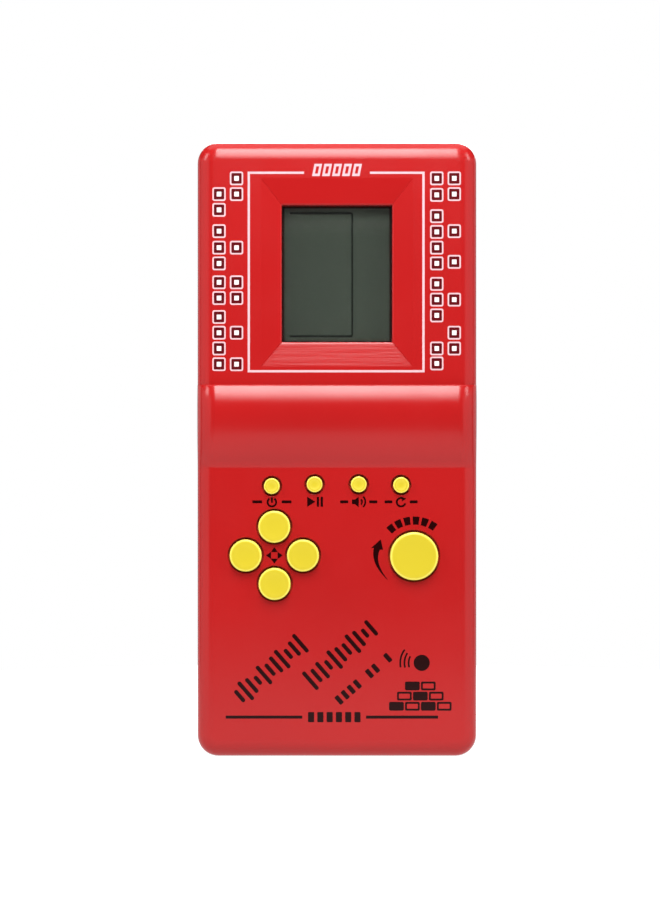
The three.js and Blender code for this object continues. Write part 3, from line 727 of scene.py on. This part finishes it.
def rear_case():
    """The back half: a shell with its lip, the battery bay, buzzer seat, wells and doorway."""
    seam = SEAM - SEAM_GAP / 2
    fillet = [(BACK_FILLET * v, level(BACK_FILLET * u)) for u, v in quarter(12)]
    rim = [(EDGE * u, level(seam - EDGE * v)) for u, v in quarter(3)]
    shell = case_solid(Form(), fillet + rim).made("case_rear")
    lip = [(LIP_INSET, level(8)), (LIP_INSET, level(seam + LIP_RISE))]
    combine(shell, case_solid(Form(), lip), "UNION")
    inner = [(WALL + 1.5, level(WALL)), (WALL, level(WALL + 1.5)), (WALL, level(SEAM + 6))]
    combine(shell, case_solid(Form(), inner), "DIFFERENCE")

    bay_middle = (BAY_BOTTOM + BAY_TOP) / 2
    bay_half_height = (BAY_TOP - BAY_BOTTOM) / 2
    inside = Form()
    sections = [(*BAY_RIM, 1.2), (*BAY_RIM, 3.4), (*BAY_BOX, 3.41), (*BAY_BOX, BAY_FLOOR + 1)]
    inside.loft([at_depth(rounded(0, bay_middle, *half, 0.8), depth) for *half, depth in sections])
    for name in CASE_SCREWS:
        inside.turned(*centre_of(name), [(4.3, 1.2), (4.3, SEAM)], 32)
    buzzer_x, buzzer_z = centre_of("buzzer_disc")
    seat = ((14.9, 1.2), (14.9, 3.8), (13.8, 3.8), (13.8, 2.9), (12, 2.9), (12, 1.2))
    inside.tube([at_depth(circle(buzzer_x, buzzer_z, radius, 64), depth) for radius, depth in seat])
    combine(shell, inside, "UNION")

    cutters = Form()
    cutters.slab(rounded(0, bay_middle, BAY_HALF_WIDTH, bay_half_height, 0.5), 1, BAY_FLOOR)
    for name in CASE_SCREWS:
        x, z = centre_of(name)
        profile = [(1.5, SEAM + 1), (1.5, WELL_FLOOR), (WELL, WELL_FLOOR)]
        profile += [(WELL + EDGE * u, EDGE * v - 0.005) for u, v in quarter(4)]
        profile.append((WELL + EDGE + 0.01, -1))
        cutters.turned(x, z, profile, 40)
    for row in range(-2, 3):
        slot_z = buzzer_z + SLOT_PITCH * row
        flared_slab(cutters, buzzer_x, slot_z, *SLOT_HALF, 0.55, WALL + 0.5, 0.15)
    combine(shell, cutters, "DIFFERENCE")

    doorway = Form()
    doorway_half = (DOOR_HALF_WIDTH + DOOR_GAP, DOOR_HALF_HEIGHT + DOOR_GAP)
    flared_slab(doorway, 0, DOOR_MIDDLE, *doorway_half, 0.7, DOOR_THICKNESS + 0.3, 0.2)
    combine(shell, doorway, "DIFFERENCE")
    details = Form()
    flared_slab(details, 0, LATCH_Z, 6, 2.2, 1.5, DOOR_THICKNESS + 0.25, 0.2)
    for side in (-1, 1):
        details.slab(rounded(side * HOOK_X, 113.1, 3.5, 3.1, 0.3), WALL + 0.05, 5.4)
    for node in ("contact_positive", "contact_negative"):
        _, z = centre_of(node)
        details.slab(rounded(-27.95, z, 0.65, 1.6, 0.2), BAY_FLOOR - 1, BAY_FLOOR + 2)
    combine(shell, details, "DIFFERENCE")
    shade(shell)
    finish_piece(shell, case_red, nodes=["rear_shell"])


def battery_door():
    """A panel with a thumb dish and its ribs, a tongue at the bottom and two hooks at the top."""

    def outline(shrink):
        return rounded(0, DOOR_MIDDLE, DOOR_HALF_WIDTH - shrink, DOOR_HALF_HEIGHT - shrink, 0.8)

    edge = 0.35
    rings = [at_depth(outline(edge * v), edge * u) for u, v in quarter(4)]
    door = Form().loft(rings + [at_depth(outline(0), DOOR_THICKNESS)]).made("door_panel")
    details = Form()
    for side in (-1, 1):
        details.slab(rounded(side * HOOK_X, DOOR_TOP - 0.75, 3, 0.65, 0.2), 1, 3.4)
    details.slab(rounded(0, DOOR_BOTTOM, 4, 1, 0.3), 0.9, DOOR_THICKNESS - 0.02)
    combine(door, details, "UNION")
    hooks = Form()
    for side in (-1, 1):
        hooks.slab(rounded(side * HOOK_X, DOOR_TOP + 0.3, 3, 1.6, 0.3), 2.3, 3.38)
    combine(door, hooks, "UNION")
    dish = Form()
    dish_z = DOOR_BOTTOM + 5.6
    profile = [(5.9, -0.5), (5.2, 0.02), (4.6, 0.16), (3.8, 0.42), (2.6, 0.68), (1.2, 0.8)]
    dish.turned(0, dish_z, profile, 64)
    combine(door, dish, "DIFFERENCE")
    ribs = Form()
    for row in (-1, 0, 1):
        half_width = 3.1 - 0.5 * abs(row)
        low = rounded(0, dish_z + 1.5 * row, half_width, 0.3, 0.25, 3)
        high = rounded(0, dish_z + 1.5 * row, half_width - 0.15, 0.14, 0.12, 3)
        ribs.loft([at_depth(low, 1), at_depth(low, 0.35), at_depth(high, 0.15)])
    combine(door, ribs, "UNION")
    shade(door)
    finish_piece(door, case_red, "door", ["battery_door"])


# ---- keys ----

FLANGE_BACK, FLANGE_FRONT = 20.3, FACE - WALL - 0.15


def key_cap(name, size):
    """A cap with a rolled rim round a faintly dished top, and the flange that keeps it in the case."""
    x, z = KEY_CENTRES[name]
    radius, proud, rim = size["radius"], size["proud"], size["rim"]
    low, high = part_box(f"{name}_button")
    flange = (high.x - low.x) / 2 / MM
    top = FACE + proud
    stem_end = BACK_Y - high.y / MM
    profile = [
        (radius * 0.6, stem_end),
        (radius * 0.6, FLANGE_BACK),
        (flange, FLANGE_BACK),
        (flange, FLANGE_FRONT),
        (radius, FLANGE_FRONT),
    ]
    profile += [(radius - rim * u, top - rim * 0.4 * v) for u, v in quarter(9)]
    for share in (0.85, 0.65, 0.4, 0.15):
        inner = (radius - rim) * share
        sink = 0.16 * (1 - share) * (1 + share)
        profile.append((inner, top - sink))
    cap = Form().turned(x, z, profile, 72).made(f"{name}_cap")
    shade(cap)
    finish_piece(cap, button_yellow, f"{name}_key", [f"{name}_button"])


# ---- silicone mats under the keys ----

MAT_BACK, MAT_FRONT = BOARD_FRONT, 14.9
DOME_TOP, DOME_SKIN = 18.0, 0.8
MATS = {
    "direction_mat": ("up", "left", "right", "down"),
    "function_mat": ("power", "start_pause", "sound", "reset"),
    "rotate_mat": ("rotate",),
}


def mat_outlines(name):
    """The sheet's outlines: a cross of two plates under the direction keys, else one plate."""
    if name == "rotate_mat":
        return [circle(*KEY_CENTRES["rotate"], 8.6, 48)]
    if name == "function_mat":
        return [rounded(0, 77.7, 22.4, 3.5, 1)]
    return [rounded(-17.85, 57.7, 4.95, 13.1, 1), rounded(-17.8, 57.7, 12.8, 4.9, 1)]


def dome_foot(key):
    """A dome's radius at its foot, a little less than the key's flange."""
    low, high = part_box(f"{key}_button")
    return (high.x - low.x) / 2 / MM * 0.78


def key_mat(name, keys):
    """A sheet on the board, and on it a hollow dome and a plunger for each key."""
    silicone = CARRIED["silicone"]
    first, *others = mat_outlines(name)
    sheet = Form().slab(first, MAT_BACK, MAT_FRONT).made(name.replace("mat", "sheet"))
    for outline in others:
        combine(sheet, Form().slab(outline, MAT_BACK, MAT_FRONT), "UNION")
    openings = Form()
    for key in keys:
        x, z = KEY_CENTRES[key]
        foot = dome_foot(key)
        inner, low, ceiling = foot - DOME_SKIN, MAT_FRONT + 0.02, DOME_TOP - DOME_SKIN
        openings.turned(x, z, [(inner, MAT_BACK - 1), (inner, MAT_FRONT + 1)], 32)
        profile = [(foot * 0.5, ceiling), (foot * 0.68, DOME_TOP - 1.2), (inner, 15.4), (inner, low)]
        profile += [(foot, low), (foot, 15.3), (foot * 0.72, DOME_TOP - 0.3), (foot * 0.62, DOME_TOP)]
        dome = Form().turned(x, z, profile, 40).made(f"{key}_dome")
        shade(dome)
        finish_piece(dome, silicone)
        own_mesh(dome)
        plunger = Form().turned(x, z, [(foot * 0.45, 16), (foot * 0.45, ceiling - 0.3)], 32)
        plunger = plunger.made(f"{key}_plunger")
        shade(plunger)
        finish_piece(plunger, silicone, f"{key}_key")
    combine(sheet, openings, "DIFFERENCE")
    shade(sheet)
    finish_piece(sheet, silicone, nodes=[name])


# ---- prints ----

INK_BACK = FACE - 0.03
INK_FRONT = FACE + 0.03


def turned_by(outline, degrees, x, z):
    """An outline turned about the origin, then moved to a place."""
    cos, sin = math.cos(math.radians(degrees)), math.sin(math.radians(degrees))
    return [(x + u * cos - v * sin, z + u * sin + v * cos) for u, v in outline]


def bar(x, z, width, height, radius=0.15):
    return rounded(x, z, width / 2, height / 2, radius, 3)


def arc_block(x, z, inner, outer, start, end, steps=8):
    """A block bent round a centre, between two angles in degrees."""
    angles = [math.radians(start + (end - start) * k / steps) for k in range(steps + 1)]
    far = [(x + outer * math.cos(a), z + outer * math.sin(a)) for a in angles]
    near = [(x + inner * math.cos(a), z + inner * math.sin(a)) for a in reversed(angles)]
    return far + near


class Print:
    """Ink on a flat surface, as thin plates."""

    def __init__(self, name, back=INK_BACK, front=INK_FRONT):
        self.name = name
        self.back = back
        self.front = front
        self.form = Form()

    def fill(self, *outlines):
        for outline in outlines:
            self.form.slab(outline, self.back, self.front)

    def ring(self, outer, inner):
        self.form.frame(outer, inner, self.back, self.front)

    def finish(self, material, slot):
        finish_piece(self.form.made(self.name), material)


def frame_line(ink_on):
    """The white line round the display, open at the top for the row of marks."""
    left, right, bottom, top = -25.2, 24.7, 110.3, 167.0
    width, gap = 0.65, 9.4
    for x in (left, right):
        ink_on.fill(bar(x, (top + bottom) / 2, width, top - bottom + width, 0.05))
    ink_on.fill(bar((left + right) / 2, bottom, right - left - width - 0.02, width, 0.05))
    for start, end in ((left + width / 2, -gap), (gap, right - width / 2)):
        ink_on.fill(bar((start + end) / 2, top, end - start - 0.02, width, 0.05))


PITCH = 4.5
COLUMNS = {  # for each column, the rows that hold a square, counted down from the top
    -33.7: (1, 2, 3.35, 4.4, 5.4, 6.6, 7.6, 8.8, 9.8, 10.8, 11.8),
    -28.7: (0, 1, 4.4, 6.6, 7.6, 9.8, 11.8),
    28.5: (0, 1.05, 2.4, 3.4, 4.4, 5.4, 6.7, 7.7, 8.7, 10.8, 11.75),
    33.5: (0, 1, 3.35, 5.3, 7.7, 9.8, 10.8),
}
SQUARE_TOP = 165.4


def squares(white, maroon, pale):
    for x, rows in COLUMNS.items():
        for row in rows:
            z = SQUARE_TOP - PITCH * row
            white.ring(rounded(x, z, 1.9, 1.95, 0.6), rounded(x, z, 1.48, 1.53, 0.3))
            maroon.ring(rounded(x, z, 1.46, 1.51, 0.28), rounded(x, z, 0.66, 0.68, 0.12))
            pale.fill(rounded(x, z, 0.64, 0.66, 0.1))


def leaning(x, z, width, height, slant):
    """A leaning block's outline."""
    corners = ((-1, -1), (1, -1), (1, 1), (-1, 1))
    return [(x + (u * width + v * slant * height) / 2, z + v * height / 2) for u, v in corners]


def top_marks(ink_on):
    """Five hollow leaning blocks in the gap of the frame line."""
    for k in range(5):
        x = 2.85 * (k - 2)
        ink_on.ring(leaning(x, 167.8, 2.15, 3.5, 0.2), leaning(x, 167.8, 0.85, 2.1, 0.2))


def face_prints():
    white = Print("face_print_white")
    maroon = Print("face_print_maroon", front=FACE + 0.025)
    pale = Print("face_print_pale")
    black = Print("face_print_black")
    frame_line(white)
    squares(white, maroon, pale)
    top_marks(white)
    for draw in (key_icons, rotate_marks, direction_marks, diagonal_marks, emblem, bottom_rule):
        draw(black)
    white.finish(white_ink, "white_ink")
    maroon.finish(maroon_ink, "black_ink")
    pale.finish(pale_ink, "white_ink")
    black.finish(black_ink, "black_ink")


ICON_Z = 73.0


def key_icons(ink_on):
    """Plain signs for power, play and pause, sound, and start again, each between short dashes."""
    z = ICON_Z
    x, _ = KEY_CENTRES["power"]
    ink_on.fill(arc_block(x, z - 0.1, 0.95, 1.5, 125, 415, 22), bar(x, z + 0.5, 0.55, 1.5, 0.1))
    dashes(ink_on, x, 5.6, 2.8)
    x, _ = KEY_CENTRES["start_pause"]
    ink_on.fill([(x - 2.1, z - 1.45), (x + 0.2, z), (x - 2.1, z + 1.45)])
    ink_on.fill(bar(x + 0.95, z, 0.65, 2.8, 0.1), bar(x + 2.05, z, 0.65, 2.8, 0.1))
    x, _ = KEY_CENTRES["sound"]
    horn = ((-1.9, -0.65), (-1.1, -0.65), (0, -1.5), (0, 1.5), (-1.1, 0.65), (-1.9, 0.65))
    ink_on.fill([(x + u, z + v) for u, v in horn])
    for radius in (0.95, 1.9):
        ink_on.fill(arc_block(x, z, radius - 0.24, radius + 0.24, -50, 50))
    dashes(ink_on, x, 5.3, 2.3)
    x, _ = KEY_CENTRES["reset"]
    ink_on.fill(arc_block(x, z - 0.1, 0.95, 1.5, 75, 345, 22))
    ink_on.fill([(x + 0.25, z + 0.1), (x + 0.25, z + 1.4), (x + 1.45, z + 0.95)])
    dashes(ink_on, x, 4.7, 2.2)


def dashes(ink_on, x, reach, length):
    for side in (-1, 1):
        ink_on.fill(bar(x + side * (reach - length / 2), ICON_Z, length, 0.8, 0.15))


def rotate_marks(ink_on):
    """Blocks bent over the rotate key, and the arrow that sweeps up beside it."""
    x, z = KEY_CENTRES["rotate"]
    for k in range(6):
        start = 134.5 - 14.2 * k
        ink_on.fill(arc_block(x, z, 9.0, 11.3, start, start - 10, 6))
    steps = 16
    spine = curve([(14.4, 50.8), (10.0, 55.6), (11.4, 59.6)], steps)
    left, right = [], []
    for k, (x, z) in enumerate(spine):
        ahead, behind = spine[min(k + 1, steps)], spine[max(k - 1, 0)]
        run_x, run_z = ahead[0] - behind[0], ahead[1] - behind[1]
        half = (0.06 + 0.84 * k / steps) / math.hypot(run_x, run_z)
        left.append((x - run_z * half, z + run_x * half))
        right.append((x + run_z * half, z - run_x * half))
    head = [(9.65, 59.7), (12.5, 62.3), (13.15, 59.3)]
    ink_on.fill(left + head + list(reversed(right)))


def direction_marks(ink_on):
    """Four small arrowheads between the direction keys."""
    x, z = KEY_CENTRES["up"][0], KEY_CENTRES["left"][1]
    head = [(0.95, -1.0), (2.35, 0), (0.95, 1.0)]
    for quarter_turn in range(4):
        ink_on.fill(turned_by(head, 90 * quarter_turn, x, z))


SLANT = 41


def along(start, distance, lift=0.0):
    """A point on a slanted line, lifted square to it."""
    angle = math.radians(SLANT)
    x = start[0] + distance * math.cos(angle) - lift * math.sin(angle)
    z = start[1] + distance * math.sin(angle) + lift * math.cos(angle)
    return x, z


METERS = (
    ((-27.8, 17.5), (4.2, 6.6, 5.2, 3, 6.6, 4.2, 5.6, 6.6, 3.4, 5, 6.6)),
    ((-7.6, 21.9), (6.6, 4.6, 5.8, 3.2, 6.6, 5, 4, 6.6, 5.4, 3, 5.4)),
)


def diagonal_marks(ink_on):
    """Two slanted rows of bars in different heights, like a level meter, and a small row of blocks."""
    for start, heights in METERS:
        for k, height in enumerate(heights):
            x, z = along(start, 2.3 * k)
            ink_on.fill(turned_by(bar(0, 0, 1.15, height, 0.5), SLANT, x, z))
    for k in (0, 1, 2, 3, 5, 6, 8):
        x, z = along((0.6, 16.4), 2.3 * k)
        ink_on.fill(turned_by(bar(0, 0, 1.3, 2.8, 0.3), SLANT, x, z))


def emblem(ink_on):
    """A heap of bricks with a ball bouncing over it."""
    x, z = 23.8, 14.6
    brick = (4.2, 2.5)
    for row, count in enumerate((4, 3, 2)):
        for k in range(count):
            centre_x = x + (k - (count - 1) / 2) * (brick[0] + 0.35)
            centre_z = z + row * (brick[1] + 0.4)
            outer = bar(centre_x, centre_z, *brick, 0.4)
            if (row + k) % 2:
                ink_on.ring(outer, bar(centre_x, centre_z, brick[0] - 1.1, brick[1] - 1.1, 0.2))
            else:
                ink_on.fill(outer)
    x, z = x + 0.4, z + 12.4
    ink_on.fill(circle(x, z, 2.3, 32))
    for k in range(3):
        radius = 3.5 + 1.2 * k
        ink_on.fill(arc_block(x, z, radius, radius + 0.5, 150 - 4 * k, 200 - 4 * k))


def bottom_rule(ink_on):
    z = 11.5
    for start, end in ((-31.8, -9.9), (8.3, 28.9)):
        ink_on.fill(bar((start + end) / 2, z, end - start, 0.85, 0.1))
    for k in range(6):
        ink_on.fill(bar(-7.4 + 2.65 * k, z, 1.75, 2.9, 0.25))


# ---- display ----


def display():
    """The clear pane, the line printed on the film behind it, and a black border round the opening on the pane's
    back, a painted shadow for the shade under the opening's lip.
    """
    thickness = WINDOW_FRONT - WINDOW_BACK
    rings = []
    for inset, share in ((0.15, 0), (0, 0.15), (0, 0.85), (0.15, 1)):
        outline = rounded(0, DISPLAY_Z, WINDOW_HALF[0] - inset, WINDOW_HALF[1] - inset, 1.5)
        rings.append(at_depth(outline, WINDOW_BACK + share * thickness))
    pane = Form().loft(rings).made("display_pane")
    shade(pane)
    finish_piece(pane, clear_window, nodes=["display_window"])

    low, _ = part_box("lcd_front_polariser")
    film_front = BACK_Y - low.y / MM
    lines = Print("display_field_line", film_front + 0.005, film_front + 0.03)
    left, right, bottom, top = -13.6, 4.4, 120.55, 155.95
    width = 0.55
    for z in (bottom, top):
        lines.fill(bar((left + right) / 2, z, right - left, width, 0.1))
    lines.fill(bar(right, (top + bottom) / 2, width, top - bottom - width - 0.02, 0.05))
    lines.finish(display_black, "lcd_polariser")

    # painted shadow: a black ring on the pane's back, standing for the shade under the opening's lip
    border = Print("window_shadow_border", WINDOW_BACK - 0.05, WINDOW_BACK - 0.01)
    width, height = OPENING
    border.ring(
        rounded(0, OPENING_Z, width + 0.8, height + 0.8, 0.3, 3),
        rounded(0, OPENING_Z, width - 0.7, height - 0.55, 0.3, 3),
    )
    border.finish(black_ink, "black_ink")


# ---- screws and cells ----


def case_screw(name):
    """A pan head with a cross recess, on its plain shank."""
    x, z = centre_of(name)
    head = [(1.2, 18), (1.2, 4.9), (2.6, 4.9), (2.6, 3.9), (2.45, 3.5), (2.1, 3.22), (1.5, 3.1)]
    screw = Form().turned(x, z, head, 40).made(name.replace("case_screw", "screw"))
    for mouth, foot, end in (((2.9, 0.75), (2.2, 0.45), 4.2), ((0.75, 2.9), (0.45, 2.2), 4.21)):
        slot = Form().loft([at_depth(bar(x, z, *mouth, 0.05), 2), at_depth(bar(x, z, *foot, 0.05), end)])
        combine(screw, slot, "DIFFERENCE")
    shade(screw)
    finish_piece(screw, steel, nodes=[name])


def turned_across(form, z, depth, profile, count=48):
    """A solid turned about an axis across the case: the profile is a list of (radius, x)."""
    rings = []
    for radius, x in profile:
        angles = (2 * math.pi * k / count for k in range(count))
        rings.append([(x, z + radius * math.sin(a), depth + radius * math.cos(a)) for a in angles])
    form.loft(rings)


def cell(node, stud_side):
    """A cell: a printed sleeve with a coppery band, and its metal ends."""
    low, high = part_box(node)
    _, z = centre_of(node)
    depth = BACK_Y - (low.y + high.y) / 2 / MM
    end = (high.x - low.x) / 2 / MM
    radius = (high.z - low.z) / 2 / MM
    s = stud_side

    def part(suffix, profile, material, slot, nodes=()):
        form = Form()
        turned_across(form, z, depth, [(r, s * x) for r, x in profile])
        piece = form.made(f"{node}_{suffix}")
        shade(piece)
        finish_piece(piece, material, nodes=nodes)

    sleeve = [(radius - 0.5, -end + 0.15), (radius - 0.1, -end + 0.3), (radius, -end + 0.7)]
    part("sleeve", sleeve + [(radius, end - 14)], cell_sleeve, "cell_sleeve", [node])
    band = [(radius, end - 1.8), (radius - 0.15, end - 1.4), (radius - 0.7, end - 1.2)]
    part("band", [(radius, end - 13.98)] + band, cell_band, "brass")
    stud = [(5.9, end - 1.18), (5.9, end - 1.05), (2.75, end - 1), (2.7, end - 0.2), (2.4, end)]
    part("stud", stud, steel, "plated_steel")
    part("base", [(5.9, -end), (6.1, -end + 0.14)], steel, "plated_steel")


# ---- studio ----


def softbox(name, location, target, size, brightness):
    """An area lamp whose face has the same brightness whatever its size."""
    lamp = bpy.data.lights.new(name, "AREA")
    lamp.shape = "RECTANGLE"
    lamp.size, lamp.size_y = size
    lamp.energy = brightness * math.pi * size[0] * size[1]
    holder = new_object(name, lamp)
    holder.location = location
    holder.rotation_euler = (Vector(target) - Vector(location)).to_track_quat("-Z", "Y").to_euler()


AMBIENT = 0.09
FRONT_GRADES = (  # angles above level, distance, width and brightness of each part of the front light
    (17, 24, 1.5, 0.4, 2.4),
    (24, 31, 0.55, 0.19, 7.5),
    (31, 39, 0.55, 0.19, 12.5),
    (39, 48, 0.55, 0.19, 16),
    (48, 58, 0.55, 0.19, 18.5),
    (58, 70, 0.55, 0.19, 17.5),
)


def studio():
    """A pale floor, a white backdrop seen by the camera only, and soft lights round the part."""
    world = bpy.data.worlds.new("studio")
    bpy.context.scene.world = world
    world.use_nodes = True
    nodes, links = world.node_tree.nodes, world.node_tree.links
    ambient, backdrop = nodes["Background"], nodes.new("ShaderNodeBackground")
    for shader, strength in ((ambient, AMBIENT), (backdrop, 1.0)):
        shader.inputs["Color"].default_value = (1, 1, 1, 1)
        shader.inputs["Strength"].default_value = strength
    mix = nodes.new("ShaderNodeMixShader")
    path = nodes.new("ShaderNodeLightPath")
    links.new(path.outputs["Is Camera Ray"], mix.inputs[0])
    links.new(ambient.outputs[0], mix.inputs[1])
    links.new(backdrop.outputs[0], mix.inputs[2])
    links.new(mix.outputs[0], nodes["World Output"].inputs["Surface"])

    middle = Vector((0, 0, 0.088))
    for k, (low, high, distance, width, brightness) in enumerate(FRONT_GRADES):
        angles = math.radians(low), math.radians(high)
        start, end = (middle + distance * Vector((0, -math.cos(a), math.sin(a))) for a in angles)
        size = (width, (end - start).length)
        softbox(f"front_softbox_{k}", (start + end) / 2, middle, size, brightness)
    for side, name in ((-1, "left"), (1, "right")):
        softbox(f"{name}_panel", (side * 0.7, -0.33, 0.12), middle, (0.9, 0.7), 0.95)
        softbox(f"{name}_high_panel", (side * 0.5, -0.28, 0.46), middle, (0.18, 0.25), 8)
        softbox(f"{name}_back_panel", (side * 0.75, 0.55, 0.12), middle, (0.7, 0.7), 0.8)
    softbox("top_panel", (0, 0.05, 0.8), middle, (0.9, 0.5), 1.4)
    softbox("rear_softbox", (0.05, 0.62, 0.5), middle, (0.4, 0.5), 8)

    mesh = bpy.data.meshes.new("floor")
    rim = circle(0, 0, 300, 64)
    mesh.from_pydata([(x * MM, y * MM, 0) for x, y in rim], [], [tuple(range(64))])
    finish = Finish("floor", (0.12, 0.12, 0.12), 0.8)
    finish.set("Emission Color", (1, 1, 1, 1))
    finish.set("Emission Strength", 1.0)
    mesh.materials.append(finish.material)
    floor = new_object("floor", mesh)


def camera():
    """Square on to the face, as a product is shot: a long lens at about 0.7 m."""
    lens, sensor = 100, 36
    frame_height = 0.2571
    distance = frame_height * lens / sensor
    face_y = place(0, 0, FACE).y
    optics = bpy.data.cameras.new("camera")
    optics.lens = lens
    optics.sensor_width = sensor
    holder = new_object("camera", optics)
    holder.location = (-0.002, face_y - distance, 0.0878)
    holder.rotation_euler = (math.pi / 2, 0, 0)
    bpy.context.scene.camera = holder
    bpy.context.scene.view_settings.view_transform = "Standard"


# ---- assembly ----

camera()
studio()
front_case()
rear_case()
battery_door()
for key, size_name in KEYS.items():
    key_cap(key, KEY_SIZES[size_name])
for mat_name, mat_keys in MATS.items():
    key_mat(mat_name, mat_keys)
face_prints()
display()
for screw_name in CASE_SCREWS:
    case_screw(screw_name)
cell("battery_1", -1)
cell("battery_2", 1)
slots = {part["node"]: part["material_slot"] for part in frame["record"]["subparts"]}
for node_name, node_object in frame["nodes"].items():
    slot_name = slots[node_name]
    if slot_name in CARRIED:
        cover(node_object, CARRIED[slot_name])
